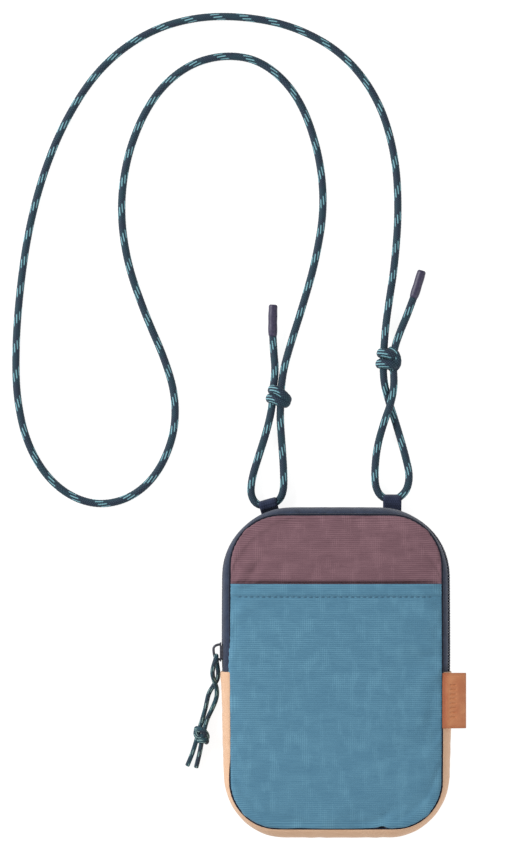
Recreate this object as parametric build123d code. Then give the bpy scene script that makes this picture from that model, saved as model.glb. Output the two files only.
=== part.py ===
from build123d import *
import os
from math import pi, radians, tan

# Neck pouch wallet, lying on its back. Millimetres.
# Origin: centre of the back panel's flat outer face. +X is the right-hand side as the
# front is looked at, where the leather tab is; +Y is the top of the pouch, +Z the front.

# ---- driving dimensions ------------------------------------------------------
HALF_WIDTH = 55.0        # front and back panels, centre to seam
HALF_HEIGHT = 81.5
TOP_RADIUS = 26.0        # panel corners
BOTTOM_RADIUS = 24.0
THICKNESS = 22.0         # back face to the face of the front pocket
BULGE = 5.0              # how far the gusset stands outside the seam line
FOLD_GAP = 0.15          # half of the gap between the lower and upper front, at y = 0

# layers, lowest to highest: (bottom, top)
BACK_PANEL = (0.0, 0.8)
BACK_FOAM = (0.8, 2.8)
BACK_LINING = (2.8, 3.2)
CARD_POCKET = (3.6, 4.0)
FRONT_LINING = (17.9, 18.3)
FRONT_FOAM = (18.3, 20.3)
FRONT_PANEL = (20.3, 20.9)
POCKET_HEM = (21.05, 21.4)
FRONT_POCKET = (21.4, THICKNESS)

FOAM_INSET = 1.2
LINING_INSET = 1.4
CARD_POCKET_INSET = 7.0
CARD_POCKET_TOP = 12.0
POCKET_TOP = 46.2        # mouth of the blue front pocket
POCKET_HEM_DEPTH = 7.4
POCKET_SEAM = 2.2        # width of the sewn rim under the pocket's edge
PIPING_RADIUS = 0.8
PIPING_OUT = 0.82        # piping centre outside the seam line
FRONT_PIPING_Z = 20.95
BACK_PIPING_Z = 0.95

ZIP_Z = 11.0             # middle of the closed zip
FRONT_SEAM_Z = 20.2
BACK_SEAM_Z = 1.8
GUSSET_SKIN = 0.9
TAPE_SKIN = 0.7
TAPE_OUT = 3.6           # outer face of the tapes beside the coils
TAPE_EDGE = 0.5          # half of the gap between the two tapes
COIL_WIDTH = 1.5
COIL_HEIGHT = 1.2

SLIDER_Y = 10.0          # middle of the slider, at the closed end of the zip
SLIDER_LENGTH = 10.0
SLIDER_WIDTH = 7.8
SLIDER_PLATE = 0.8
SLIDER_INNER = 1.6       # inner plate's inner face, outside the seam line
SLIDER_OUTER = 5.1       # outer plate's inner face, outside the seam line
SLIDER_FLANGE = 0.8
BRIDGE_WIDTH = 2.6
BRIDGE_LENGTH = 8.8
BRIDGE_WALL = 0.9
BRIDGE_ROOM = 3.2

WEBBING_WIDTH = 9.8
WEBBING_SKIN = 0.9
WEBBING_BORE = 2.3       # inner radius of the webbing round the cord
WEBBING_Z = 3.5
WEBBING_STUB_DROP = -0.75  # the sewn ends leave the seam a little below the cord
WEBBINGS = {             # name: (x, y of the cord inside it, tilt in degrees)
    "left": (-35.4, 87.0, 16.0),
    "right": (29.9, 89.4, 0.0),
}

TAB_WIDTH = 14.0
TAB_TOP = -0.6
TAB_LENGTH = 29.0
TAB_SKIN = 1.2
TAB_Z = 17.65            # under side of the leather tab, just below the front seam

CORD_DIAMETER = 4.0
PULL_DIAMETER = 2.4
SLEEVE_DIAMETER = 5.0
SLEEVE_LAP = 2.0

# ---- cord routes: corner points of the runs, chosen by hand ---------------------
NECK_CORD = [
    (-35.4, 87.0, 3.5), (-31.0, 87.8, 3.5), (-27.3, 93.2, 3.0), (-27.2, 104, 2.1), (-28.2, 119, 2.0),
    (-29.2, 132, 3.4), (-28.9, 141, 5.0), (-28.6, 150, 5.0), (-27.0, 160, 3.4), (-23.6, 172, 2.0),
    (-17.2, 192, 2.0), (-10.3, 216, 2.0), (-5.6, 245, 2.0), (-9.0, 275, 2.0), (-20.0, 304, 2.0),
    (-39.0, 321.6, 2.0), (-60.0, 324.5, 2.0), (-80.0, 318, 2.0), (-97.0, 301.5, 2.0), (-109.0, 275, 2.0),
    (-113.6, 246, 2.0), (-110.5, 217, 2.0), (-101.0, 189, 2.0), (-89.5, 163, 2.0), (-84.0, 143, 2.0),
    (-85.2, 122, 2.0), (-95.0, 101, 2.0), (-111.0, 88.8, 2.0), (-130.0, 87, 2.0), (-148.5, 97, 2.0),
    (-162.0, 117, 2.0), (-168.2, 143, 2.0), (-168.6, 172, 2.0), (-166.2, 202, 2.0), (-162.0, 231, 2.0),
    (-154.4, 261, 2.0), (-142.5, 290, 2.0), (-125.0, 317, 2.0), (-101.5, 335.5, 2.0), (-75.0, 344.3, 2.0),
    (-47.0, 344.6, 2.0), (-20.0, 338.8, 2.0), (5.0, 324.5, 2.0), (22.8, 301, 2.0), (31.6, 272, 2.0),
    (33.4, 242, 2.0), (31.2, 213, 2.0), (28.2, 194, 2.0), (26.4, 181, 3.2), (25.6, 171, 5.0),
    (25.0, 160, 5.0), (25.6, 151, 4.0), (28.0, 142, 2.2), (32.2, 129, 2.0), (36.6, 114, 2.0),
    (39.6, 101, 2.4), (36.0, 91.4, 3.3), (29.9, 89.4, 3.5),
]
TAIL_LEFT = [
    (-35.4, 87.0, 3.5), (-40.4, 86.0, 3.5), (-44.9, 91.8, 3.0), (-44.0, 101.5, 2.2), (-40.5, 112.5, 2.0),
    (-36.2, 126, 3.0), (-33.4, 138, 5.0), (-33.0, 147, 5.0), (-31.6, 158, 3.8), (-32.6, 168, 2.3),
    (-33.0, 177, 2.1),
]
TAIL_RIGHT = [
    (29.9, 89.4, 3.5), (25.0, 90.2, 3.5), (21.0, 95.8, 2.8), (20.7, 106, 2.0), (22.0, 118, 2.2),
    (25.6, 131, 6.2), (29.3, 141, 6.9), (30.9, 150, 6.4), (30.4, 160, 5.2), (30.7, 169, 4.8),
    (34.3, 179, 3.0), (38.6, 189, 2.1), (41.6, 197.5, 2.1),
]
SLEEVE_LEFT = [(-33.0, 177, 2.5), (-33.2, 185, 2.5), (-32.8, 192.4, 2.5)]
SLEEVE_RIGHT = [(41.3, 196.6, 2.5), (43.6, 203.4, 2.5), (45.6, 210.4, 2.5)]
PULL_UPPER = [
    (-62.7, 8.0, 11.0), (-62.7, 7.8, 13.6), (-63.2, 5.7, 15.3), (-64.2, 2.6, 14.2), (-64.9, -1.2, 10.9),
    (-64.0, -5.2, 7.2),
    (-62.4, -9.6, 4.2), (-62.5, -14.6, 1.9), (-64.8, -20.2, 1.6), (-67.6, -25.6, 2.6), (-69.2, -31.6, 4.2),
    (-70.5, -37.8, 3.8), (-71.7, -44.6, 1.6), (-73.5, -51.7, 1.3),
]
PULL_LOWER = [
    (-62.7, 8.0, 11.0), (-62.7, 7.8, 8.4), (-62.7, 5.6, 6.8), (-62.2, 2.4, 5.7), (-61.7, -1.2, 4.5),
    (-62.0, -4.8, 3.0),
    (-64.4, -8.4, 1.7), (-67.0, -12.6, 1.3), (-68.0, -18.0, 1.3), (-69.4, -23.8, 1.9), (-71.6, -30.4, 3.6),
    (-73.3, -37.2, 3.6), (-75.4, -44.2, 1.6), (-78.2, -50.7, 1.3),
]
# each knot: centre, width, height along the cord, depth, lean in degrees
KNOTS = {
    "neck_cord_knot_left": ((-30.9, 144.0, 5.6), 12.6, 13.0, 10.8, 0.0),
    "neck_cord_knot_right": ((28.0, 162.9, 5.6), 12.8, 12.0, 10.8, 2.0),
    "pull_cord_knot": ((-70.8, -34.4, 4.0), 8.7, 11.0, 7.6, -18.0),
}


# ---- helpers ---------------------------------------------------------------------
def save(node, shape):
    """Write one sub-part to its own STEP file."""
    export_step(shape, f"parts/{node}.step")


def panel_face(offset=0.0):
    """The pouch's outline as a face: straight sides, larger corners at the bottom."""
    half_x = HALF_WIDTH + offset
    half_y = HALF_HEIGHT + offset
    face = Rectangle(2 * half_x, 2 * half_y)
    top = face.vertices().group_by(Axis.Y)[-1]
    face = fillet(top, TOP_RADIUS + offset)
    bottom = face.vertices().group_by(Axis.Y)[0]
    corners = [v for v in bottom if abs(abs(v.X) - half_x) < 0.01]
    return fillet(corners, BOTTOM_RADIUS + offset)


def plate(layer, offset=0.0):
    """A flat cloth or foam layer between two heights."""
    low, high = layer
    return extrude(Pos(0, 0, low) * panel_face(offset), high - low)


def seam_rim(low, high, offset):
    """The sewn rim that holds a patch pocket's edge down and leaves its middle open."""
    return plate((low, high), offset) - plate((low, high), offset - POCKET_SEAM)


def band(y_low, y_high):
    """A block that keeps what lies between two heights up the pouch."""
    reach = 4 * HALF_HEIGHT
    return Pos(0, (y_low + y_high) / 2, 0) * Box(reach, y_high - y_low, reach)


LOWER = band(-2 * HALF_HEIGHT, -FOLD_GAP)
UPPER = band(FOLD_GAP, 2 * HALF_HEIGHT)


def seam_path(upper):
    """The seam line as an open path: over the top, or round the bottom, left to right."""
    sign = 1 if upper else -1
    radius = TOP_RADIUS if upper else BOTTOM_RADIUS
    start = sign * FOLD_GAP
    end = sign * HALF_HEIGHT
    points = [(-HALF_WIDTH, start), (-HALF_WIDTH, end), (HALF_WIDTH, end), (HALF_WIDTH, start)]
    return FilletPolyline(*points, radius=radius)


def strip(section, upper):
    """Carry a section, given as (outwards, height) points, along the seam line."""
    start = FOLD_GAP if upper else -FOLD_GAP
    points = [(-HALF_WIDTH - out, start, z) for out, z in section]
    face = make_face(Polyline(*points, close=True))
    return sweep(face, path=seam_path(upper))


def round_strip(out, z, radius, upper):
    """A round trim, such as piping, along the seam line."""
    start = FOLD_GAP if upper else -FOLD_GAP
    facing = Plane(origin=(-HALF_WIDTH - out, start, z), z_dir=(0, 1, 0))
    return sweep(facing * Circle(radius), path=seam_path(upper))


def mirrored(section):
    """The same section, turned over about the middle of the zip."""
    return [(out, 2 * ZIP_Z - z) for out, z in section]


def route_radii(points):
    """The largest tangent arc at each corner of a route, and each corner's turn."""
    radii = []
    turns = []
    for before, corner, after in zip(points, points[1:], points[2:]):
        first = Vector(*corner) - Vector(*before)
        second = Vector(*after) - Vector(*corner)
        turn = first.get_angle(second)
        shorter = min(first.length, second.length)
        radii.append(0.45 * shorter / tan(radians(turn / 2)))
        turns.append(turn)
    return radii, turns


def tube(name, points, diameter):
    """A cord's tube: straight runs joined by tangent arcs, with its radii printed."""
    radii, turns = route_radii(points)
    path = FilletPolyline(*points, radius=radii)
    start = Plane(origin=path @ 0, z_dir=path % 0)
    solid = sweep(start * Circle(diameter / 2), path=path)
    expected = path.length * pi * diameter**2 / 4
    print(f"{name}: length {path.length:.1f}, radii {min(radii):.1f} to {max(radii):.0f}, "
          f"largest turn {max(turns):.0f}, volume / section x length {solid.volume / expected:.4f}")
    return solid


# ---- the pouch -----------------------------------------------------------------------
def make_back():
    save("back_panel", plate(BACK_PANEL))
    save("back_foam", plate(BACK_FOAM, -FOAM_INSET))
    save("back_lining", plate(BACK_LINING, -LINING_INSET))
    keep = band(-2 * HALF_HEIGHT, CARD_POCKET_TOP)
    save("inner_card_pocket", plate(CARD_POCKET, -CARD_POCKET_INSET) & keep)
    save("card_pocket_seam", seam_rim(BACK_LINING[1], CARD_POCKET[0], -CARD_POCKET_INSET) & keep)
    centre_line = Pos(0, 0, BACK_PIPING_Z) * panel_face(PIPING_OUT).wire()
    ring = Plane(origin=centre_line @ 0, z_dir=centre_line % 0)
    save("back_piping", sweep(ring * Circle(PIPING_RADIUS), path=centre_line))


def make_front():
    """Each layer of the front folds at y = 0, where the zip ends, so it is in two nodes."""
    layers = {
        "front_lining": plate(FRONT_LINING, -LINING_INSET),
        "front_foam": plate(FRONT_FOAM, -FOAM_INSET),
        "front_panel": plate(FRONT_PANEL),
    }
    below_mouth = band(-2 * HALF_HEIGHT, POCKET_TOP)
    layers["front_pocket"] = plate(FRONT_POCKET) & below_mouth
    layers["pocket_seam"] = seam_rim(FRONT_PANEL[1], FRONT_POCKET[0], 0.0) & below_mouth
    for name, layer in layers.items():
        save(f"{name}_lower", layer & LOWER)
        save(f"{name}_upper", layer & UPPER)
    hem_band = band(POCKET_TOP - POCKET_HEM_DEPTH, POCKET_TOP)
    save("front_pocket_hem", plate(POCKET_HEM, -POCKET_SEAM - 0.3) & hem_band)
    for upper, name in ((False, "lower"), (True, "upper")):
        save(f"front_piping_{name}", round_strip(PIPING_OUT, FRONT_PIPING_Z, PIPING_RADIUS, upper))


def make_gusset():
    """The cloth wall round the bottom: it bulges from seam to seam."""
    outer = [(0, FRONT_SEAM_Z), (2.3, 18.0), (4.0, 15.2), (BULGE, 12.2)]
    outer += mirrored(outer)[::-1]
    inner = [(out - GUSSET_SKIN, z) for out, z in outer][::-1]
    save("lower_gusset", strip(outer + inner, upper=False))
    lining = [(1.5, 17.5), (3.0, 15.0), (BULGE - GUSSET_SKIN - 0.1, 12.2)]
    lining += mirrored(lining)[::-1]
    lining_inner = [(out - 0.5, z) for out, z in lining][::-1]
    save("gusset_lining", strip(lining + lining_inner, upper=False))


def make_zip():
    """Two tapes over the top of the pouch, each with its own coil on its edge."""
    low = ZIP_Z + TAPE_EDGE
    tape = [(0, FRONT_SEAM_Z), (2.0, 18.2), (3.2, 16.2), (TAPE_OUT, 14.6), (TAPE_OUT, low)]
    inner = [(TAPE_OUT - TAPE_SKIN, low), (TAPE_OUT - TAPE_SKIN, 14.4), (2.4, 15.8), (1.2, 17.6), (-0.8, 19.6)]
    high = low + COIL_WIDTH
    coil = [(TAPE_OUT, low), (TAPE_OUT + COIL_HEIGHT, low), (TAPE_OUT + COIL_HEIGHT, high), (TAPE_OUT, high)]
    for name, turn in (("front", list), ("back", mirrored)):
        save(f"zip_tape_{name}", strip(turn(tape + inner), upper=True))
        save(f"zip_coil_{name}", strip(turn(coil), upper=True))


def block(out_low, out_high, y_low, y_high, z_low, z_high):
    """A block on the left side of the pouch, placed outwards from the seam line."""
    size = (out_high - out_low, y_high - y_low, z_high - z_low)
    centre = (-HALF_WIDTH - (out_low + out_high) / 2, (y_low + y_high) / 2, (z_low + z_high) / 2)
    return Pos(*centre) * Box(*size)


def make_slider():
    """Two plates, side flanges and a thin post that keeps the coils apart."""
    low = SLIDER_Y - SLIDER_LENGTH / 2
    high = SLIDER_Y + SLIDER_LENGTH / 2
    half = SLIDER_WIDTH / 2
    outer = block(SLIDER_OUTER, SLIDER_OUTER + SLIDER_PLATE, low, high, ZIP_Z - half, ZIP_Z + half)
    inner = block(SLIDER_INNER, SLIDER_INNER + SLIDER_PLATE, low, high, ZIP_Z - half, ZIP_Z + half)
    corners = [plate_part.edges().filter_by(Axis.X) for plate_part in (outer, inner)]
    outer = fillet(corners[0], 1.8)
    inner = fillet(corners[1], 1.8)
    post = block(SLIDER_INNER + 0.4, SLIDER_OUTER + 0.4, low + 0.8, low + 3.2, ZIP_Z - 0.22, ZIP_Z + 0.22)
    body = outer + inner + post
    for side in (-1, 1):
        edge = ZIP_Z + side * half
        ends = sorted((edge, edge - side * SLIDER_FLANGE))
        body += block(TAPE_OUT + 0.3, SLIDER_OUTER + 0.1, low + 1.8, high - 1.8, *ends)
    save("slider_body", body)

    start = SLIDER_Y - BRIDGE_LENGTH / 2
    end = SLIDER_Y + BRIDGE_LENGTH / 2
    foot = SLIDER_OUTER + SLIDER_PLATE
    crown = foot + BRIDGE_ROOM + BRIDGE_WALL
    sides = (ZIP_Z - BRIDGE_WIDTH / 2, ZIP_Z + BRIDGE_WIDTH / 2)
    arch = block(foot, crown, start, end, *sides)
    ridge = arch.edges().filter_by(Axis.Z).group_by(Axis.X)[0]
    arch = fillet(ridge, 1.6)
    room = block(foot, foot + BRIDGE_ROOM, start + BRIDGE_WALL, end - BRIDGE_WALL, *sides)
    hollow_edges = room.edges().filter_by(Axis.Z).group_by(Axis.X)[0]
    save("slider_bridge", arch - fillet(hollow_edges, 0.9))


def make_trims():
    """Two webbing loops in the top seam, and the leather tab in the right side seam."""
    for name, (x, y, tilt) in WEBBINGS.items():
        ring = Circle(WEBBING_BORE + WEBBING_SKIN)
        root_y = HALF_HEIGHT + 0.3 - y
        stub_length = -root_y - WEBBING_BORE
        stub = Pos(root_y + stub_length / 2, WEBBING_STUB_DROP) * Rectangle(stub_length, 2 * WEBBING_SKIN)
        section = ring + stub - Circle(WEBBING_BORE)
        along = Plane(origin=(x, y, WEBBING_Z), x_dir=(0, 1, 0), z_dir=(1, 0, 0))
        loop = extrude(along * section, WEBBING_WIDTH / 2, both=True)
        loop = loop.rotate(Axis((x, y, WEBBING_Z), (0, 0, 1)), tilt)
        save(f"webbing_loop_{name}", loop)

    fold = Pos(HALF_WIDTH - 0.8, TAB_TOP - TAB_LENGTH / 2, TAB_Z + TAB_SKIN)
    tab = fold * Pos(TAB_WIDTH / 2, 0, 0) * Box(TAB_WIDTH, TAB_LENGTH, 2 * TAB_SKIN)
    outer_edges = tab.edges().filter_by(Axis.Y).group_by(Axis.X)[-1]
    save("leather_tab", fillet(outer_edges, 0.9 * TAB_SKIN))


# ---- the cords ---------------------------------------------------------------------------
def make_knot(node, centre, width, height, depth, lean):
    """A closed blob the size of the tied knot, its axis along the cord."""
    section = Plane(origin=(0, 0, 0), x_dir=(1, 0, 0), z_dir=(0, 1, 0)) * Ellipse(width / 2, depth / 2)
    blob = extrude(section, height / 2, both=True)
    blob = fillet(blob.edges(), 0.24 * height)
    save(node, Pos(*centre) * Rot(0, 0, lean) * blob)


def make_cords():
    save("neck_cord", tube("neck_cord", NECK_CORD, CORD_DIAMETER))
    save("neck_cord_tail_left", tube("neck_cord_tail_left", TAIL_LEFT, CORD_DIAMETER))
    save("neck_cord_tail_right", tube("neck_cord_tail_right", TAIL_RIGHT, CORD_DIAMETER))
    save("cord_end_sleeve_left", tube("cord_end_sleeve_left", SLEEVE_LEFT, SLEEVE_DIAMETER))
    save("cord_end_sleeve_right", tube("cord_end_sleeve_right", SLEEVE_RIGHT, SLEEVE_DIAMETER))
    save("pull_cord_upper", tube("pull_cord_upper", PULL_UPPER, PULL_DIAMETER))
    save("pull_cord_lower", tube("pull_cord_lower", PULL_LOWER, PULL_DIAMETER))
    for node, (centre, width, height, depth, lean) in KNOTS.items():
        make_knot(node, centre, width, height, depth, lean)


os.makedirs("parts", exist_ok=True)
make_back()
make_front()
make_gusset()
make_zip()
make_slider()
make_trims()
make_cords()
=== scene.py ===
import math

import bpy
import numpy as np
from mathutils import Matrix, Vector
from mathutils.bvhtree import BVHTree


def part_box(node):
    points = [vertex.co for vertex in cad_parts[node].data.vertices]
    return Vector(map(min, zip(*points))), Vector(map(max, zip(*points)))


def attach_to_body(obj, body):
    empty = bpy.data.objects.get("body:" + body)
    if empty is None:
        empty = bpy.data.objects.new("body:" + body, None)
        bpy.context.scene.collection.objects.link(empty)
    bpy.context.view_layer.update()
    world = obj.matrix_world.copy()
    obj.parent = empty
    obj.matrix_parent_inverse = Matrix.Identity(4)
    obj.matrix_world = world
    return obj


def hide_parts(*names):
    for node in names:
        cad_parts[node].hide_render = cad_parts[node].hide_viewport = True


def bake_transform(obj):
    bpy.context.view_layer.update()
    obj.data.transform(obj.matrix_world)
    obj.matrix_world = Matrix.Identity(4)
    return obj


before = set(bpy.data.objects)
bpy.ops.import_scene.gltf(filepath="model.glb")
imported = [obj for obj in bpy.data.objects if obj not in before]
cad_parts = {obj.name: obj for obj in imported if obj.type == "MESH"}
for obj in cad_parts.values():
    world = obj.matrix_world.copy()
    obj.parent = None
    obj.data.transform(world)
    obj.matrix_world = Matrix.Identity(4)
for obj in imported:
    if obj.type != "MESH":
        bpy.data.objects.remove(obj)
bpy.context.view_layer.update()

# Neck pouch wallet. Lengths below are millimetres; meshes are made in metres at the end.
MM = 0.001


def corners(node):
    """Lowest and highest corner of a CAD node, in millimetres."""
    low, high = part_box(node)
    return np.array(low) / MM, np.array(high) / MM


# ---- places, from the frame
panel_low, panel_high = corners("front_panel_upper")
HALF_X = panel_high[0]
HALF_Y = panel_high[1]
PANEL_TOP = panel_high[2]
SEAM_FRONT = corners("lower_gusset")[1][2]
SEAM_BACK = corners("lower_gusset")[0][2]
OUT_X = corners("lower_gusset")[1][0]
OUT_Y = -corners("lower_gusset")[0][1]
MID_Z = (SEAM_FRONT + SEAM_BACK) / 2
POCKET_TOP = corners("front_pocket_upper")[1][1]
STITCH_Y = corners("front_pocket_hem")[0][1] + 0.5
COIL_OUT = corners("zip_coil_front")[1][0]

TOP_RADIUS = 26.0
BOTTOM_RADIUS = 24.0
OUTER_TOP_RADIUS = 36.0
OUTER_BOTTOM_RADIUS = 31.0
OUTLINE_COUNTS = (26, 14, 22)
CORD_D = 4.0
PULL_D = 2.4
KNOT_FLATTEN = 0.84
POCKET_RISE = 0.75
NOTCH_X = 24.0
FOLDS = (  # rise, place x and y, size x and y, and how the fold leans, in x and in y
    (-1.7, 54, 6, 13, 2.4, 0, 0.2),  # above the tab, where the zip ends
    (1.1, 54, -1.5, 11, 3.6, 0, 0.1),
    (-2.0, NOTCH_X, -78, 1.6, 3.6, 0.7, 0),  # low on the right, at the notch in the seam
    (-1.0, -42, 54, 2.6, 6, 0.6, 0),  # by the left end of the pocket's mouth
    (-0.6, 50, -22, 3, 14, 0, 0),  # beside the tab
)

# ---- cord routes, the same points as the frame's tubes
NECK_CORD = [
    (-35.4, 87, 3.5), (-31, 87.8, 3.5), (-27.3, 93.2, 3), (-27.2, 104, 2.1), (-28.2, 119, 2),
    (-29.2, 132, 3.4), (-28.9, 141, 5), (-28.6, 150, 5), (-27, 160, 3.4), (-23.6, 172, 2),
    (-17.2, 192, 2), (-10.3, 216, 2), (-5.6, 245, 2), (-9, 275, 2), (-20, 304, 2),
    (-39, 321.6, 2), (-60, 324.5, 2), (-80, 318, 2), (-97, 301.5, 2), (-109, 275, 2),
    (-113.6, 246, 2), (-110.5, 217, 2), (-101, 189, 2), (-89.5, 163, 2), (-84, 143, 2),
    (-85.2, 122, 2), (-95, 101, 2), (-111, 88.8, 2), (-130, 87, 2), (-148.5, 97, 2),
    (-162, 117, 2), (-168.2, 143, 2), (-168.6, 172, 2), (-166.2, 202, 2), (-162, 231, 2),
    (-154.4, 261, 2), (-142.5, 290, 2), (-125, 317, 2), (-101.5, 335.5, 2), (-75, 344.3, 2),
    (-47, 344.6, 2), (-20, 338.8, 2), (5, 324.5, 2), (22.8, 301, 2), (31.6, 272, 2),
    (33.4, 242, 2), (31.2, 213, 2), (28.2, 194, 2), (26.4, 181, 3.2), (25.6, 171, 5),
    (25, 160, 5), (25.6, 151, 4), (28, 142, 2.2), (32.2, 129, 2), (36.6, 114, 2),
    (39.6, 101, 2.4), (36, 91.4, 3.3), (29.9, 89.4, 3.5),
]
TAIL_LEFT = [
    (-35.4, 87, 3.5), (-40.4, 86, 3.5), (-44.9, 91.8, 3), (-44, 101.5, 2.2), (-40.5, 112.5, 2),
    (-36.2, 126, 3), (-33.4, 138, 5), (-33, 147, 5), (-31.6, 158, 3.8), (-32.6, 168, 2.3),
    (-33, 177, 2.1),
]
TAIL_RIGHT = [
    (29.9, 89.4, 3.5), (25, 90.2, 3.5), (21, 95.8, 2.8), (20.7, 106, 2), (22, 118, 2.2),
    (25.6, 131, 6.2), (29.3, 141, 6.9), (30.9, 150, 6.4), (30.4, 160, 5.2), (30.7, 169, 4.8),
    (34.3, 179, 3), (38.6, 189, 2.1), (41.6, 197.5, 2.1),
]
PULL_UPPER = [
    (-62.7, 8, 11), (-62.7, 7.8, 13.6), (-63.2, 5.7, 15.3), (-64.2, 2.6, 14.2), (-64.9, -1.2, 10.9),
    (-64, -5.2, 7.2),
    (-62.4, -9.6, 4.2), (-62.5, -14.6, 1.9), (-64.8, -20.2, 1.6), (-67.6, -25.6, 2.6), (-69.2, -31.6, 4.2),
    (-70.5, -37.8, 3.8), (-71.7, -44.6, 1.6), (-73.5, -51.7, 1.3),
]
PULL_LOWER = [
    (-62.7, 8, 11), (-62.7, 7.8, 8.4), (-62.7, 5.6, 6.8), (-62.2, 2.4, 5.7), (-61.7, -1.2, 4.5),
    (-62, -4.8, 3),
    (-64.4, -8.4, 1.7), (-67, -12.6, 1.3), (-68, -18, 1.3), (-69.4, -23.8, 1.9), (-71.6, -30.4, 3.6),
    (-73.3, -37.2, 3.6), (-75.4, -44.2, 1.6), (-78.2, -50.7, 1.3),
]
# strands wound in the knots: listed points, wrapped tight round the two cords
KNOT_LEFT = [
    [(-28, 146.6, 2.4), (-32.4, 147.6, 2.4), (-34, 147.6, 5.2), (-32.8, 148, 8.4), (-30.2, 147.2, 9.2),
     (-27, 144.6, 8.8), (-25, 142.2, 6.8), (-26.6, 140.8, 3.6), (-30, 141, 2.4), (-33, 142.4, 2.6)],
    [(-27, 142.2, 2.4), (-31.6, 142.6, 2.3), (-34.6, 143.2, 3.4), (-34.8, 143.4, 6.4), (-32.4, 143, 8.4),
     (-29.2, 141.2, 8.6), (-26, 140.4, 7), (-25.4, 141.6, 4.4), (-28, 143.2, 2.8)],
]
KNOT_RIGHT = [
    [(30.6, 165.2, 2.6), (26.4, 166.4, 2.4), (23.6, 166.9, 4.2), (23.8, 167.2, 7.4), (26.4, 166.8, 8.8),
     (29.6, 165.8, 8.6), (31.4, 164.8, 6.4), (31, 164, 3.4), (27, 165, 2.4)],
    [(30.8, 160.6, 2.5), (26.4, 160.8, 2.3), (23, 161.3, 3.8), (23, 161.5, 7), (25.8, 161.4, 8.8),
     (29.6, 161, 8.6), (31.4, 160.8, 6.4), (30.8, 160.4, 3.6), (27, 160.8, 2.4)],
    [(28, 168.4, 3.8), (30.6, 167.4, 6.2), (31.9, 165, 7.4), (32.3, 162, 7), (31.4, 159.6, 5.2),
     (28.6, 158.8, 3.4)],
]
KNOT_PULL = [
    [(-68.4, -31.8, 2), (-71.6, -31.2, 1.9), (-73.6, -31, 3.6), (-72.8, -30.8, 5.8), (-70.4, -31.4, 6.5),
     (-68.2, -33, 6), (-67.6, -35.6, 4.4), (-68.8, -37.2, 2.4), (-70.8, -37, 1.9)],
    [(-67.8, -36.6, 2.2), (-70.4, -37.2, 2), (-71.9, -37, 3.6), (-71.4, -36.6, 5.8), (-69.2, -36.8, 6.2),
     (-67.4, -37.4, 4.4), (-68.2, -37.8, 2.4)],
    [(-72.4, -30.6, 3), (-73.6, -32.6, 4.4), (-72.8, -35, 5.6), (-70.6, -35.2, 5.6), (-69, -33.4, 4.8)],
]
SLEEVES = {
    "left": [(-33, 175.5, 2.5), (-33.2, 184, 2.5), (-32.8, 192.6, 2.5)],
    "right": [(41, 195.8, 2.5), (43.4, 202.8, 2.5), (45.6, 210.6, 2.5)],
}
WEBBINGS = {"left": (-35.4, 87, 16), "right": (29.9, 89.4, 0)}


# ---- meshes
class MeshParts:
    """Collects lattices of points into one mesh, with texture coordinates in millimetres."""

    def __init__(self):
        self.points = []
        self.faces = []
        self.uvs = []
        self.count = 0

    def lattice(self, points, uv, around=False, along=False, caps=False):
        """points is rows x columns x 3; uv has one more column or row where the lattice closes."""
        rows, columns = points.shape[:2]
        base = self.count
        self.points.append(points.reshape(-1, 3))
        self.count += rows * columns
        for i in range(rows - 1 + along):
            for j in range(columns - 1 + around):
                square = ((i, j), (i, j + 1), (i + 1, j + 1), (i + 1, j))
                self.faces.append([base + (a % rows) * columns + b % columns for a, b in square])
                self.uvs.extend(uv[a, b] for a, b in square)
        if caps:
            for row, step in ((0, -1), (rows - 1, 1)):
                self.cap(points[row], base + row * columns, step, uv[row])

    def cap(self, ring, start, step, uv):
        """Closes a ring with a fan to its centre."""
        columns = len(ring)
        centre = self.count
        self.points.append(ring.mean(0)[None])
        self.count += 1
        for j in range(columns):
            a, b = start + j, start + (j + 1) % columns
            self.faces.append([a, b, centre][::step])
            corner = [uv[j], uv[j + 1], (uv[j] + uv[j + 1]) / 2]
            self.uvs.extend(corner[::step])

    def build(self, name, material):
        mesh = bpy.data.meshes.new(name)
        points = np.concatenate(self.points) * MM
        mesh.from_pydata(points.tolist(), [], self.faces)
        layer = mesh.uv_layers.new(name="UVMap")
        layer.data.foreach_set("uv", np.array(self.uvs, dtype=np.float32).ravel())
        mesh.polygons.foreach_set("use_smooth", [True] * len(mesh.polygons))
        mesh.materials.append(material)
        mesh.update()
        return shown(name, mesh)


def shown(name, data):
    """A new object in the scene."""
    made = bpy.data.objects.new(name, data)
    bpy.context.scene.collection.objects.link(made)
    return made


def unit(v):
    """The same vectors, one long."""
    return v / np.maximum(np.linalg.norm(v, axis=-1, keepdims=True), 1e-12)


def left_of(ahead):
    """Unit vectors a quarter turn to the left of flat ones."""
    return unit(np.stack([-ahead[:, 1], ahead[:, 0]], axis=1))


def uv_grid(across, along):
    """Texture coordinates of a lattice, from those of one row and one column."""
    return np.stack(np.broadcast_arrays(across[None, :], along[:, None]), axis=-1)


def lengths(line):
    """Distance along a line, at each of its points."""
    steps = np.linalg.norm(np.diff(line, axis=0), axis=1)
    return np.concatenate([[0.0], np.cumsum(steps)])


def resample(line, count, shares=None):
    """The same line with evenly spaced points, or with points at given shares of its length."""
    along = lengths(line)
    wanted = along[-1] * (np.linspace(0, 1, count) if shares is None else shares)
    return np.stack([np.interp(wanted, along, line[:, k]) for k in range(line.shape[1])], axis=1)


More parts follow.
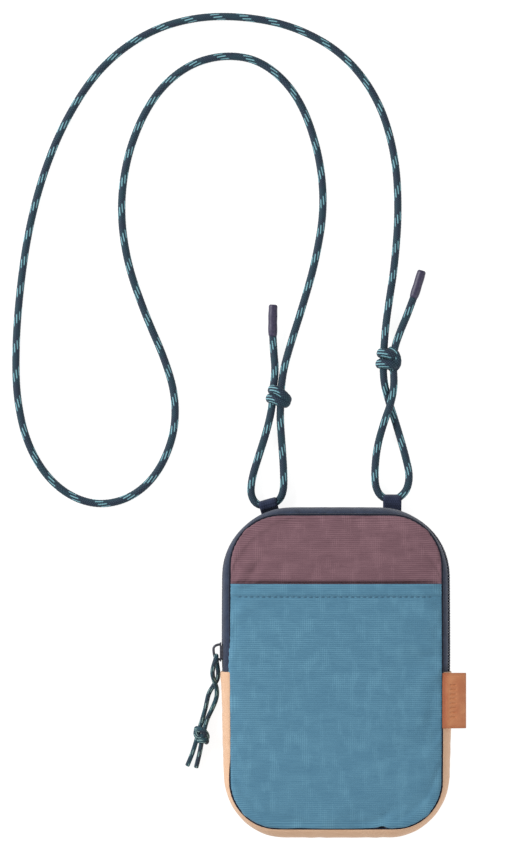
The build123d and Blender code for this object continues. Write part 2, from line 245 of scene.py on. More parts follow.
def route_line(points, step=0.6):
    """Points read from a cord's smooth line: a NURBS spline with its route as control points."""
    curve = bpy.data.curves.new("route", "CURVE")
    curve.dimensions = "3D"
    curve.resolution_u = 24
    spline = curve.splines.new("NURBS")
    spline.points.add(len(points) - 1)
    for control, point in zip(spline.points, points):
        control.co = (point[0] * MM, point[1] * MM, point[2] * MM, 1.0)
    spline.order_u = 3
    spline.use_endpoint_u = True
    holder = bpy.data.objects.new("route", curve)
    mesh = bpy.data.meshes.new_from_object(holder)
    line = np.array([v.co[:] for v in mesh.vertices]) / MM
    bpy.data.objects.remove(holder)
    bpy.data.curves.remove(curve)
    bpy.data.meshes.remove(mesh)
    return resample(line, max(8, int(lengths(line)[-1] / step)))


def frames(line, closed=False):
    """Two unit vectors across a line at each point, carried along it without twist."""
    if closed:
        tangent = unit(np.roll(line, -1, axis=0) - np.roll(line, 1, axis=0))
    else:
        tangent = unit(np.gradient(line, axis=0))
    side = np.cross(tangent[0], (0.0, 0.0, 1.0))
    if np.linalg.norm(side) < 0.1:
        side = np.cross(tangent[0], (0.0, 1.0, 0.0))
    sides = [unit(side)]
    for t in tangent[1:]:
        previous = sides[-1]
        sides.append(unit(previous - t * (previous @ t)))
    sides = np.array(sides)
    return sides, np.cross(tangent, sides)


def tube(parts, line, radius, around=16, braid=0.0, pitch=3.4, closed=False, flatten=1.0):
    """A round tube on a line; braid is the height of its crossing strands."""
    side, up = frames(line, closed)
    along = lengths(line)
    angle = np.linspace(0, 2 * math.pi, around, endpoint=False)
    theta = angle[None, :]
    s = along[:, None]
    turns = 2 * math.pi * s / pitch
    relief = braid * (np.sin(4 * theta + turns) * np.sin(4 * theta - turns))
    r = radius + relief
    if not closed:
        reach = radius * 0.4
        inset = np.clip((reach - np.minimum(along, along[-1] - along)) / reach, 0, 1)
        r = r * (1 - 0.3 * inset**2)[:, None]
    sideways = np.cos(theta)[..., None] * side[:, None]
    upwards = flatten * np.sin(theta)[..., None] * up[:, None]
    points = line[:, None] + r[..., None] * (sideways + upwards)
    rows = len(line) + closed
    u = np.linspace(0, 2 * math.pi * radius, around + 1)
    v = np.concatenate([along, [along[-1] + (along[1] - along[0])]]) if closed else along
    parts.lattice(points, uv_grid(u, v[:rows]), around=True, along=closed, caps=not closed)


# ---- the pouch's outline
def loop(half_x, half_y, top, bottom, bow):
    """A closed outline from the left middle over the top: half sides, corners and ends share their counts."""
    straight, corner, end = OUTLINE_COUNTS
    pieces = []

    def run(a, b, n):
        pieces.append(np.linspace(a, b, n, endpoint=False))

    def arc(centre, radius, start, n):
        angles = np.radians(np.linspace(start, start - 90, n, endpoint=False))
        pieces.append(centre + radius * np.stack([np.cos(angles), np.sin(angles)], axis=1))

    run((-half_x, 0), (-half_x, half_y - top), straight)
    arc(np.array((-half_x + top, half_y - top)), top, 180, corner)
    run((-half_x + top, half_y), (half_x - top, half_y), end)
    arc(np.array((half_x - top, half_y - top)), top, 90, corner)
    run((half_x, half_y - top), (half_x, 0), straight)
    run((half_x, 0), (half_x, -half_y + bottom), straight)
    arc(np.array((half_x - bottom, -half_y + bottom)), bottom, 0, corner)
    run((half_x - bottom, -half_y), (-half_x + bottom, -half_y), end)
    arc(np.array((-half_x + bottom, -half_y + bottom)), bottom, -90, corner)
    run((-half_x, -half_y + bottom), (-half_x, 0), straight)
    line = np.concatenate(pieces)
    x, y = line[:, 0], line[:, 1]
    bowed_x = x * (1 - bow[0] * (y / half_y) ** 2 / half_x)
    bowed_y = y * (1 - bow[1] * (x / half_x) ** 2 / half_y)
    return np.stack([bowed_x, bowed_y], axis=1)


def slacken(outline):
    """The sewn bag is a little narrower and pulled to the right round its cloth gusset."""
    x, y = outline[:, 0], outline[:, 1]
    low = 1 / (1 + np.exp((y + 6.0) / 5.0))
    pinch = 0.9 * low + 0.7 * np.clip((-y - 30) / 30, 0, 1)
    return np.stack([x * (1 - pinch / OUT_X) + 0.5 * low, y], axis=1)


SEAM = loop(HALF_X, HALF_Y, TOP_RADIUS, BOTTOM_RADIUS, (0.5, 0.4))
OUTER = slacken(loop(OUT_X, OUT_Y, OUTER_TOP_RADIUS, OUTER_BOTTOM_RADIUS, (0.6, 0.5)))
LOOP = len(SEAM)
HALF_LOOP = LOOP // 2


def side_wall(indices, v):
    """Points on the puffed side: v runs from the front seam, 0, to the back seam, 1."""
    share = np.sin(np.pi * v) ** 1.15
    z = SEAM_FRONT + (SEAM_BACK - SEAM_FRONT) * (1 - np.cos(np.pi * v)) / 2
    inner, outer = SEAM[indices % LOOP], OUTER[indices % LOOP]
    flat = inner[:, None] + (outer - inner)[:, None] * share[None, :, None]
    return np.concatenate([flat, np.broadcast_to(z[None, :, None], flat.shape[:2] + (1,))], axis=2)


def outward(indices):
    """Unit vectors pointing out of the pouch, along the outer outline."""
    ahead = OUTER[(indices + 1) % LOOP] - OUTER[(indices - 1) % LOOP]
    return left_of(ahead)


# ---- materials
class Shade:
    """A short way to write one procedural material."""

    def __init__(self, name, roughness=0.8, **sockets):
        self.material = bpy.data.materials.new(name)
        self.material.use_nodes = True
        self.tree = self.material.node_tree
        self.surface = self.tree.nodes["Principled BSDF"]
        self.surface.inputs["Roughness"].default_value = roughness
        for socket, value in sockets.items():
            self.surface.inputs[socket.replace("_", " ")].default_value = value

    def node(self, kind, *values, out=0, **settings):
        made = self.tree.nodes.new("ShaderNode" + kind)
        for key, value in settings.items():
            setattr(made, key, value)
        for index, value in enumerate(values):
            if value is None:
                continue
            if isinstance(value, bpy.types.NodeSocket):
                self.tree.links.new(value, made.inputs[index])
            else:
                made.inputs[index].default_value = value
        return made.outputs[out]

    def math(self, operation, *values):
        return self.node("Math", *values, operation=operation)

    def times(self, a, b):
        return self.math("MULTIPLY", a, b)

    def plus(self, a, b):
        return self.math("ADD", a, b)

    def off_middle(self, value):
        """How far a value's fraction is from a half."""
        return self.math("ABSOLUTE", self.math("SUBTRACT", self.math("FRACT", value), 0.5))

    def uv(self):
        """Texture coordinates, in millimetres."""
        split = self.tree.nodes.new("ShaderNodeSeparateXYZ")
        self.tree.links.new(self.node("TexCoord", out=2), split.inputs[0])
        return split.outputs[0], split.outputs[1]

    def vector(self, x, y, z=0.0):
        return self.node("CombineXYZ", x, y, z)

    def noise(self, x, y, scale_x, scale_y, detail=2.0):
        place = self.vector(self.times(x, scale_x), self.times(y, scale_y))
        return self.node("TexNoise", place, None, 1.0, detail)

    def wave(self, x, pitch, sharp=1.0):
        """0 to 1 ridges across x, one for each pitch."""
        swing = self.math("SINE", self.times(x, 2 * math.pi / pitch))
        ridge = self.math("MULTIPLY_ADD", swing, 0.5, 0.5)
        return ridge if sharp == 1.0 else self.math("POWER", ridge, sharp)

    def mix(self, factor, first, second):
        return self.node("MixRGB", factor, rgba(first), rgba(second))

    def range(self, value, low, high, to_low=0.0, to_high=1.0):
        return self.node("MapRange", value, low, high, to_low, to_high)

    def colour(self, socket):
        self.tree.links.new(socket, self.surface.inputs["Base Color"])

    def bump(self, height, depth, strength=1.0):
        made = self.tree.nodes.new("ShaderNodeBump")
        made.inputs["Strength"].default_value = strength
        made.inputs["Distance"].default_value = depth * MM
        self.tree.links.new(height, made.inputs["Height"])
        self.tree.links.new(made.outputs[0], self.surface.inputs["Normal"])


def rgba(value):
    """Screen colours, 0 to 255, as linear values; sockets pass through."""
    if isinstance(value, bpy.types.NodeSocket):
        return value
    return tuple((c / 255) ** 2.2 for c in value) + (1.0,)


def canvas(name, base, light, dark, lines=(0.35, 0.5), pitch=1.05):
    """Ribbed canvas: raised threads across, and patches where the ones running up show too."""
    s = Shade(name, roughness=0.86, Sheen_Weight=0.12, Sheen_Roughness=0.5, Specular_IOR_Level=0.25)
    x, y = s.uv()
    ribs_up = s.wave(x, pitch, 1.5)
    ribs_across = s.wave(y, pitch, 1.5)
    patch_up = s.range(s.noise(x, y, 0.16, 0.07), 0.5, 0.64)
    patch_across = s.range(s.noise(x, y, 0.06, 0.15), 0.42, 0.6, 0.5, 1.0)
    slub = s.noise(x, y, 0.12, 1.9, 3.0)
    lines_up = s.times(s.times(ribs_up, patch_up), lines[0])
    lines_across = s.times(s.times(ribs_across, patch_across), lines[1])
    threads = s.plus(lines_up, lines_across)
    tone = s.plus(threads, s.math("MULTIPLY_ADD", slub, 0.3, -0.15))
    s.colour(s.mix(s.range(tone, 0.0, 1.0), s.mix(s.range(slub, 0.3, 0.55, 0.35, 1.0), dark, base), light))
    thread = s.plus(s.wave(x, pitch / 2), s.wave(y, pitch / 2))
    ridges = s.plus(s.times(ribs_across, 0.9), s.times(ribs_up, 0.3))
    s.bump(s.math("MULTIPLY_ADD", thread, 0.35, ridges), 0.14, 0.5)
    return s.material


def plain_weave(name, base, light, pitch=0.7, depth=0.12):
    """Linings, tape, piping and webbing: close ribs with a little wear."""
    s = Shade(name, roughness=0.9, Sheen_Weight=0.2, Sheen_Roughness=0.5, Specular_IOR_Level=0.2)
    x, y = s.uv()
    lean = s.plus(x, s.times(y, 0.5))
    ribs = s.times(s.wave(lean, pitch), s.wave(y, pitch * 1.3))
    toned = s.range(s.noise(x, y, 0.25, 0.25, 4.0), 0.35, 0.75)
    s.colour(s.mix(s.math("MULTIPLY_ADD", ribs, 0.5, s.times(toned, 0.5)), base, light))
    s.bump(ribs, depth, 0.6)
    return s.material


def braided(name, diameter, lead, base, cool, tracer, dashes, dash):
    """Braided cord: dark yarns, with pale tracer dashes stepping round it once in each lead."""
    reach, lean = 0.14, 0.9
    s = Shade(name, roughness=0.7, Sheen_Weight=0.08, Sheen_Roughness=0.4, Specular_IOR_Level=0.35)
    x, y = s.uv()
    turn = s.times(x, dashes / (math.pi * diameter))
    leaned = s.plus(turn, s.times(y, 0.05))
    slot = s.math("FLOOR", leaned)
    across = s.off_middle(leaned)
    step = s.math("SUBTRACT", s.math("DIVIDE", y, lead), s.math("DIVIDE", slot, float(dashes)))
    centred = s.off_middle(step)
    thin = s.range(across, reach, reach + 0.1, 1.0, 0.0)
    short = s.range(centred, dash / lead / 2, dash / lead / 2 + 0.04, 1.0, 0.0)
    mask = s.times(thin, short)
    rising = s.wave(s.plus(turn, s.times(y, lean)), 1.0)
    falling = s.wave(s.math("SUBTRACT", turn, s.times(y, lean)), 1.0)
    strands = s.times(rising, falling)
    drift = s.range(s.noise(x, y, 0.3, 0.12), 0.4, 0.6)
    dark = s.mix(drift, base, cool)
    yarn = s.mix(s.times(strands, 0.2), dark, tracer)
    s.colour(s.mix(mask, yarn, tracer))
    s.bump(s.plus(strands, s.times(mask, 0.5)), 0.25, 0.7)
    return s.material


def leather(name):
    """Tanned leather: a fine grain, darker with wear along its edges, and painted shade on its upper layer
    towards the seam.
    """
    s = Shade(name, roughness=0.55, Specular_IOR_Level=0.4, Coat_Weight=0.05)
    x, y = s.uv()
    cells = s.node("TexVoronoi", s.vector(x, y), None, 2.4, feature="DISTANCE_TO_EDGE")
    grain = s.range(cells, 0.0, 0.25)
    mottle = s.noise(x, y, 0.16, 0.16, 5.0)
    edge = s.range(s.math("ABSOLUTE", s.math("SUBTRACT", y, 14.5)), 12.6, 14.6)
    body = s.mix(s.range(mottle, 0.35, 0.65), (176, 108, 72), (192, 128, 88))
    toned = s.mix(s.times(edge, 0.5), body, (140, 80, 50))
    # painted shade: the upper layer darkens over its last few millimetres towards the seam
    toned = s.mix(s.range(x, 21.0, 24.5, 0.0, 0.8), toned, (156, 84, 56))
    s.colour(s.mix(s.times(s.math("SUBTRACT", 1.0, grain), 0.25), toned, (130, 74, 46)))
    s.bump(s.plus(s.times(grain, 0.5), mottle), 0.12, 0.5)
    return s.material


def moulded(name, base, light, roughness, metallic=0.0):
    """Nylon, painted metal and shrink sleeve: faint mottle and a soft gloss."""
    s = Shade(name, roughness=roughness, Metallic=metallic, Specular_IOR_Level=0.5)
    x, y = s.uv()
    mottle = s.noise(x, y, 0.9, 0.9, 4.0)
    s.colour(s.mix(s.range(mottle, 0.35, 0.7), base, light))
    s.bump(mottle, 0.05, 0.4)
    return s.material


def foam(name):
    """Open-cell foam."""
    s = Shade(name, roughness=0.95)
    x, y = s.uv()
    cells = s.node("TexVoronoi", s.vector(x, y), None, 1.4)
    s.colour(s.mix(s.range(cells, 0.0, 0.6), (176, 178, 176), (214, 214, 210)))
    s.bump(cells, 0.2, 0.5)
    return s.material


BLUE = canvas("blue_canvas", (74, 116, 140), (106, 154, 176), (68, 110, 135))
MAUVE = canvas("mauve_canvas", (104, 76, 84), (146, 112, 120), (96, 69, 77), lines=(0.35, 0.55))
TAN = canvas("sand_canvas", (204, 166, 136), (224, 190, 162), (196, 156, 126), lines=(0.3, 0.3), pitch=0.8)
TAPE = plain_weave("zip_tape_weave", (28, 37, 56), (52, 64, 86))
PIPING = plain_weave("piping_weave", (14, 18, 32), (30, 36, 54), pitch=0.6)
WEBBING = plain_weave("webbing_weave", (32, 38, 58), (58, 66, 90), pitch=1.0, depth=0.25)
LINING = plain_weave("lining_weave", (62, 70, 88), (84, 92, 112), pitch=0.5, depth=0.06)
NYLON = moulded("coil_nylon", (26, 32, 50), (44, 52, 74), 0.4)
GUNMETAL = moulded("gunmetal", (70, 70, 78), (96, 96, 104), 0.42, metallic=0.7)
SLEEVE = moulded("shrink_sleeve", (44, 42, 64), (62, 55, 80), 0.5)
THREAD = plain_weave("thread", (40, 74, 96), (110, 152, 172), pitch=3.1, depth=0.05)
FOAM = foam("foam_cells")
LEATHER = leather("cognac_leather")
CORD = braided("neck_cord_braid", CORD_D, 13.7, (22, 30, 52), (16, 44, 58), (116, 166, 176), 8, 4.0)
PULL = braided("pull_cord_braid", PULL_D, 8.0, (26, 36, 54), (22, 66, 80), (120, 152, 150), 6, 2.6)


def attach(piece, body, slot, *nodes):
    """Says which body a piece rides on and which CAD nodes it stands for; slot, its material slot, is not
    used.
    """
    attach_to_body(piece, body)
    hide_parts(*nodes)


# ---- cords
def cord_piece(name, points, material, diameter, braid):
    """A braided cord on its route, and its centreline."""
    line = route_line(points, 0.6 if diameter > 3 else 0.4)
    parts = MeshParts()
    tube(parts, line, diameter / 2, around=18, braid=braid, pitch=diameter * 0.85)
    return parts.build(name, material), line


def make_neck_cord():
    """The whole neck cord with its tails, knots and sleeves."""
    knots = {}
    for side, strands in (("left", KNOT_LEFT), ("right", KNOT_RIGHT)):
        parts = MeshParts()
        for strand in strands:
            tube(parts, route_line(strand, 0.5), 2.5, around=20, braid=0.09, flatten=KNOT_FLATTEN)
        knots[side] = parts.build(f"knot_{side}", CORD)
        attach(knots[side], "pouch", "cord", f"neck_cord_knot_{side}")
    main, line = cord_piece("cord_main", NECK_CORD, CORD, CORD_D, 0.10)
    attach(main, "pouch", "cord", "neck_cord")
    for side, points, length in (("left", TAIL_LEFT, 0.0985), ("right", TAIL_RIGHT, 0.1167)):
        tail, line = cord_piece(f"cord_tail_{side}", points, CORD, CORD_D, 0.10)
        sleeve = make_sleeve(side)
        attach(tail, "pouch", "cord", f"neck_cord_tail_{side}")


def make_sleeve(side):
    """A heat-shrunk sleeve: a slightly bent tube with a pinched tip."""
    line = route_line(SLEEVES[side], 0.5)
    along = lengths(line)
    parts = MeshParts()
    around = 20
    tube(parts, line, 2.45, around=around, flatten=0.92)
    points = parts.points[0].reshape(len(line), around, 3)
    lip = 1 - 0.14 * np.exp(-along / 1.4) - 0.02 * np.sin(along * 0.9 + 1) - 0.05 * along / along[-1]
    points[:] = line[:, None] + (points - line[:, None]) * lip[:, None, None]
    sleeve = parts.build(f"sleeve_{side}", SLEEVE)
    attach(sleeve, "pouch", "cord_sleeve", f"cord_end_sleeve_{side}")
    return sleeve


def make_pull():
    """The doubled pull cord and its knot."""
    parts = MeshParts()
    for strand in KNOT_PULL:
        tube(parts, route_line(strand, 0.35), 1.6, braid=0.06, pitch=2.2, flatten=KNOT_FLATTEN)
    knot = parts.build("pull_knot", PULL)
    attach(knot, "zip_pull", "cord", "pull_cord_knot")
    strands = (("upper", PULL_UPPER, 0.0685, [knot]), ("lower", PULL_LOWER, 0.0655, []))
    for name, points, length, extra in strands:
        strand, line = cord_piece(f"pull_{name}", points, PULL, PULL_D, 0.06)
        attach(strand, "zip_pull", "cord", f"pull_cord_{name}")


# ---- the sewn body
def spaced(count):
    """Shares from 0 to 1, closer together at both ends."""
    even = np.linspace(0, 1, count)
    return 0.45 * even + 0.55 * (0.5 - 0.5 * np.cos(np.pi * even))


def coons(top, right, bottom, left):
    """A grid of points inside four edges; top and bottom run rightwards, left and right upwards."""
    n, m = len(top), len(left)
    s = spaced(n)[None, :, None]
    t = spaced(m)[:, None, None]
    across = (1 - t) * bottom[None] + t * top[None]
    up = (1 - s) * left[:, None] + s * right[:, None]
    corner = ((1 - s) * (1 - t) * bottom[0] + s * (1 - t) * bottom[-1]
              + (1 - s) * t * top[0] + s * t * top[-1])
    return across + up - corner


def between(line, start, end):
    """The stretch of a closed outline from the point nearest start to the one nearest end, clockwise."""
    a = np.argmin(np.linalg.norm(line - start, axis=1))
    b = np.argmin(np.linalg.norm(line - end, axis=1))
    index = np.arange(a, b + 1 if b >= a else b + 1 + len(line)) % len(line)
    chain = line[index]
    chain[0], chain[-1] = start, end
    return chain


def panel_grid(outline, top_y, columns, rows):
    """The grid of a panel that fills an outline up to top_y."""
    x = np.abs(outline[:, 0]).max()
    y = np.abs(outline[:, 1]).max()
    inset = 1 - math.sqrt(0.5)
    low = np.array((-x + BOTTOM_RADIUS * inset, -y + BOTTOM_RADIUS * inset))
    low_right = low * (-1, 1)
    if top_y is None:
        high = np.array((-x + TOP_RADIUS * inset, y - TOP_RADIUS * inset))
        high_right = high * (-1, 1)
        top = resample(between(outline, high, high_right), columns, spaced(columns))
    else:
        side = np.interp(top_y, outline[: HALF_LOOP // 3, 1], outline[: HALF_LOOP // 3, 0])
        high = np.array((side, top_y))
        high_right = high * (-1, 1)
        top = resample(np.array([high, high_right]), columns, spaced(columns))
    left = resample(between(outline, low, high), rows, spaced(rows))
    right = resample(between(outline, high_right, low_right)[::-1].copy(), rows, spaced(rows))
    bottom = resample(between(outline, low_right, low)[::-1].copy(), columns, spaced(columns))
    return coons(top, right, bottom, left)


def inflate(piece, pinned, pressure, grow, steps=18):
    """Lets a pinned sheet puff up by cloth simulation and returns where its points end, in millimetres."""
    scene = bpy.context.scene
    group = piece.vertex_groups.new(name="pin")
    group.add([int(i) for i in pinned], 1.0, "REPLACE")
    cloth = piece.modifiers.new("cloth", "CLOTH")
    settings = cloth.settings
    settings.quality = 8
    settings.mass = 0.12
    settings.vertex_group_mass = "pin"
    settings.tension_stiffness = 20
    settings.compression_stiffness = 20
    settings.shear_stiffness = 6
    settings.bending_stiffness = 0.6
    settings.air_damping = 4
    settings.shrink_min = -grow
    settings.use_pressure = True
    settings.uniform_pressure_force = pressure
    settings.effector_weights.gravity = 0
    cloth.collision_settings.use_collision = False
    scene.frame_start, scene.frame_end = 1, steps
    for step in range(1, steps + 1):
        scene.frame_set(step)
    made = piece.evaluated_get(bpy.context.evaluated_depsgraph_get())
    places = np.zeros(len(piece.data.vertices) * 3)
    made.data.vertices.foreach_get("co", places)
    piece.modifiers.remove(cloth)
    piece.vertex_groups.clear()
    scene.frame_set(1)
    return places.reshape(-1, 3) / MM


def rim(rows, columns):
    """Numbers of the vertices on the edge of a grid."""
    number = np.arange(rows * columns).reshape(rows, columns)
    return np.unique(np.concatenate([number[0], number[-1], number[:, 0], number[:, -1]]))


def left_roll(x, y):
    """How much of the rolled edge, 0 to 1, there is along the left of the pocket."""
    return np.clip(-x / HALF_X, 0, 1) ** 4 * np.exp(-(((y + 8) / 26) ** 2))


def right_side(outline):
    """How far round to the right edge, 0 to 1, where the teeth stand proud of the tape."""
    return np.clip(outline[:, 0] / HALF_X, 0, 1) ** 3


def spread(x, y, gain, left_gain=0.0):
    """Moves places near the seam outwards: the padding makes the cloth roll over the piping."""
    flat = np.stack([np.ravel(x), np.ravel(y)], axis=1)
    gap = np.linalg.norm(flat[:, None] - SEAM[None], axis=2)
    nearest = gap.argmin(1)
    reach = gap.min(1)
    ahead = SEAM[(nearest + 1) % LOOP] - SEAM[(nearest - 1) % LOOP]
    way = left_of(ahead)
    widest, fade, low_edge = 1.3, 1.5, -70
    left = left_roll(flat[:, 0], flat[:, 1])
    notch = 1.8 * np.exp(-(((flat[:, 0] - NOTCH_X) / 1.7) ** 2)) * (flat[:, 1] < low_edge)
    amount = (gain + left_gain * left - notch) * np.exp(-(((reach - widest) / fade) ** 2))
    moved = flat + way * amount[:, None]
    return moved[:, 0].reshape(np.shape(x)), moved[:, 1].reshape(np.shape(y))


def mouth_dip(x, y):
    """How far the panel sinks behind the pocket's mouth."""
    depth, above, behind = 2.0, 0.75, 2.5
    inner = np.clip((HALF_X - np.abs(x)) / 4, 0, 1)
    gap = y - POCKET_TOP - 0.15
    return depth * inner * np.exp(-((gap / np.where(gap > 0, above, behind)) ** 2))


def refined(points, rows, columns):
    """The same surface on a finer lattice."""
    i = np.linspace(0, points.shape[0] - 1, rows)
    j = np.linspace(0, points.shape[1] - 1, columns)
    steps = [np.arange(n) for n in points.shape[:2]]
    parts = range(points.shape[2])
    tall = np.stack([[np.interp(i, steps[0], points[:, c, k]) for c in steps[1]] for k in parts])
    wide = np.stack([[np.interp(j, steps[1], tall[k, :, r]) for r in range(rows)] for k in parts])
    return np.moveaxis(wide, 0, -1)


def creases(x, y):
    """The folds that a used pouch shows: a height, with each fold's soft bump or hollow added."""
    height = np.zeros_like(x)
    for rise, at_x, at_y, size_x, size_y, lean_x, lean_y in FOLDS:
        off_x = (x - at_x - lean_x * (y - at_y)) / size_x
        off_y = (y - at_y + lean_y * (x - 53)) / size_y
        height += rise * np.exp(-(off_x**2) - off_y**2)
    return height


def padded_sheet(name, material, z, crown, columns=46, rows=68, sign=1.0):
    """A padded face of the pouch, pinned at its seam and puffed by simulation to a given crown."""
    flat = panel_grid(SEAM, None, columns, rows)
    x, y = flat[..., 0], flat[..., 1]
    dome = np.clip(1 - (np.abs(x) / HALF_X) ** 3, 0, 1) * np.clip(1 - (np.abs(y) / HALF_Y) ** 3, 0, 1)
    height = crown * dome**0.5
    start = MeshParts()
    start.lattice(np.dstack([x, y, sign * 0.4 * crown * dome]), flat)
    sheet = start.build(name + "_sheet", material)
    moved = inflate(sheet, rim(rows, columns), 2.5 * sign, 0.012).reshape(rows, columns, 3)
    bpy.data.objects.remove(sheet)
    x, y = moved[..., 0], moved[..., 1]
    height = sign * moved[..., 2]
    height = crown * np.clip(height / height.max(), 0, 1) ** 0.55
    fine = refined(np.dstack([x, y, height, flat]), 2 * rows + 40, 2 * columns)
    x, y, height = fine[..., 0], fine[..., 1], fine[..., 2]
    if sign > 0:
        inside = np.clip(height / 0.9, 0, 1)
        detail = (creases(x, y) - mouth_dip(x, y)) * inside
        height = np.maximum(height + detail, np.minimum(height, 0.25))
        x, y = spread(x, y, 0.5, -0.5)
    parts = MeshParts()
    parts.lattice(np.dstack([x, y, z + sign * height]), fine[..., 3:])
    return parts.build(name, material)


def smooth(piece, levels=2, thickness=0.0, offset=-1.0):
    """Subdivides a sheet, and gives it a thickness with rounded edges."""
    if thickness:
        solid = piece.modifiers.new("thickness", "SOLIDIFY")
        solid.thickness = thickness * MM
        solid.offset = offset
    if levels:
        rounding = piece.modifiers.new("smooth", "SUBSURF")
        rounding.levels = rounding.render_levels = levels
    return piece


def surface_of(piece):
    """A lookup of a sheet's height at any place."""
    made = piece.evaluated_get(bpy.context.evaluated_depsgraph_get())
    mesh = made.data
    tree = BVHTree.FromPolygons([v.co for v in mesh.vertices], [p.vertices for p in mesh.polygons])

    def height(x, y, otherwise):
        hit = tree.ray_cast(Vector((x * MM, y * MM, 0.06)), Vector((0, 0, -1)))[0]
        return hit.z / MM if hit else otherwise

    return height


def make_front():
    """Front panel, slip pocket with its hem and stitches, foam and lining."""
    panel = padded_sheet("front_cloth", MAUVE, SEAM_FRONT + 0.5, 3.0)
    smooth(panel, 1)
    bpy.context.view_layer.update()
    height = surface_of(panel)
    pocket = make_pocket(height)
    for piece, nodes in (
        (panel, ("front_panel_lower", "front_panel_upper")),
        (pocket, ("front_pocket_lower", "front_pocket_upper", "pocket_seam_lower", "pocket_seam_upper",
                  "front_pocket_hem")),
        (flat_layer("front_padding", FOAM, "front_foam_lower"),
         ("front_foam_lower", "front_foam_upper")),
        (flat_layer("front_inner_cloth", LINING, "front_lining_lower"),
         ("front_lining_lower", "front_lining_upper")),
    ):
        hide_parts(*nodes)
        across_fold(piece)
    stitches = make_stitches(height)


def across_fold(piece):
    """The front folds at y = 0; this only bakes a piece's place into its mesh, with no bend there."""
    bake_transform(piece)


def flat_layer(name, material, node):
    """A padding or lining layer, from the CAD node's heights, with rounded edges."""
    low, high = corners(node)
    reach = high[0]
    outline = loop(reach, HALF_Y - (HALF_X - reach), TOP_RADIUS, BOTTOM_RADIUS, (0, 0))
    flat = panel_grid(outline, None, 24, 36)
    x, y = flat[..., 0], flat[..., 1]
    ripple = 0.12 * np.sin(x * 0.31 + 1.3) * np.sin(y * 0.23) if name != "front_padding" else 0.0 * x
    parts = MeshParts()
    parts.lattice(np.dstack([x, y, np.full(x.shape, high[2]) + np.minimum(ripple, 0)]), flat)
    piece = parts.build(name, material)
    smooth(piece, 1, high[2] - low[2])
    return piece


def pocket_height(height, x, y):
    """The pocket lies on the panel, gapes a little at its mouth, and has a groove along its stitches."""
    side = np.clip((HALF_X - abs(x)) / 6.0, 0, 1)
    gape = 0.8 * math.exp(-(((POCKET_TOP - y) / 6.0) ** 2)) * side
    roll = -0.5 * math.exp(-(((POCKET_TOP - y) / 0.6) ** 2))
    groove = 0.5 * math.exp(-(((y - STITCH_Y) / 0.6) ** 2))
    hem = 0.4 * math.exp(-(((y - STITCH_Y - 3.5) / 3.2) ** 4))
    under = height(x, y, PANEL_TOP - 0.4) + float(mouth_dip(x, y))
    return under + POCKET_RISE * (0.45 + 0.55 * side) + gape + roll - groove + hem


def make_pocket(height):
    """The slip pocket: open at its mouth, sewn in the seam round the other three sides."""
    rows, columns = 110, 50
    flat = panel_grid(SEAM, POCKET_TOP, columns, rows)
    wide_x, wide_y = spread(flat[..., 0], flat[..., 1], 0.75, 1.5)
    wide_y = np.minimum(wide_y, POCKET_TOP)
    points = np.zeros((rows, columns, 3))
    for i in range(rows):
        for j in range(columns):
            x, y = wide_x[i, j], wide_y[i, j]
            z = pocket_height(height, x, y)
            if i == 0 or j in (0, columns - 1):
                z = PANEL_TOP - 0.1 - 1.9 * left_roll(flat[i, j, 0], flat[i, j, 1])
            points[i, j] = (x, y, z)
    parts = MeshParts()
    parts.lattice(points, flat)
    return smooth(parts.build("pocket_cloth", BLUE), 2, 0.7)


def make_stitches(height):
    """Lockstitches along the pocket's hem."""
    parts = MeshParts()
    pitch, length = 3.1, 2.3
    count = int(2 * (HALF_X - 3) / pitch)
    rng = np.random.default_rng(11)
    for k in range(count):
        x = -HALF_X + 3 + pitch * (k + 0.5)
        sway = rng.normal(0, 0.06, 2)
        places = zip((-length / 2, 0.0, length / 2), (sway[0], sway.mean(), sway[1]), (0.0, 0.22, 0.0))
        line = np.array([(x + along, STITCH_Y + off, pocket_height(height, x + along, STITCH_Y + off) + up)
                         for along, off, up in places])
        tube(parts, resample(line, 9), 0.27, around=8)
    stitches = parts.build("pocket_stitches", THREAD)
    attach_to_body(stitches, "front_flap")
    return stitches


def make_back():
    """Back panel, lining, foam and the slip pocket inside."""
    panel = padded_sheet("back_cloth", MAUVE, SEAM_BACK - 0.5, 1.1, columns=30, rows=44, sign=-1.0)
    smooth(panel, 1)
    attach(panel, "pouch", "fabric_mauve", "back_panel")
    layers = (("back_padding", FOAM, "back_foam"), ("back_inner_cloth", LINING, "back_lining"))
    for name, material, node in layers:
        layer = flat_layer(name, material, node)
        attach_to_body(layer, "pouch")
        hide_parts(node)
    for node in ("inner_card_pocket", "card_pocket_seam"):
        paint(node, LINING)


def paint(node, material):
    """Gives a CAD node that keeps its own shape its material, with texture coordinates from its place."""
    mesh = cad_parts[node].data
    mesh.materials.clear()
    mesh.materials.append(material)
    layer = mesh.uv_layers.get("UVMap") or mesh.uv_layers.new(name="UVMap")
    for spot in mesh.loops:
        place = mesh.vertices[spot.vertex_index].co / MM
        layer.data[spot.index].uv = (place.x + place.z, place.y + place.z)


def strip_piece(name, material, indices, v, thickness, ripple, lift):
    """A stretch of the pouch's side wall between two heights, with small puckers."""
    points = side_wall(indices, v)
    normal = outward(indices)
    rng = np.random.default_rng(1)
    phase = rng.uniform(0, 6.28, 3)
    s = lengths(points[:, len(v) // 2])
    pucker = sum(np.sin(s * k + p) for k, p in zip((0.55, 0.93, 1.71), phase)) / 3
    shape = ripple * pucker[:, None] * np.sin(np.pi * v)[None, :] + lift
    points[..., :2] += normal[:, None] * shape[..., None]
    w = lengths(points[len(indices) // 2])
    uv = np.stack(np.broadcast_arrays(s[:, None], w[None, :]), axis=-1)
    parts = MeshParts()
    parts.lattice(points, uv)
    return smooth(parts.build(name, material), 1, thickness, offset=-1.0)


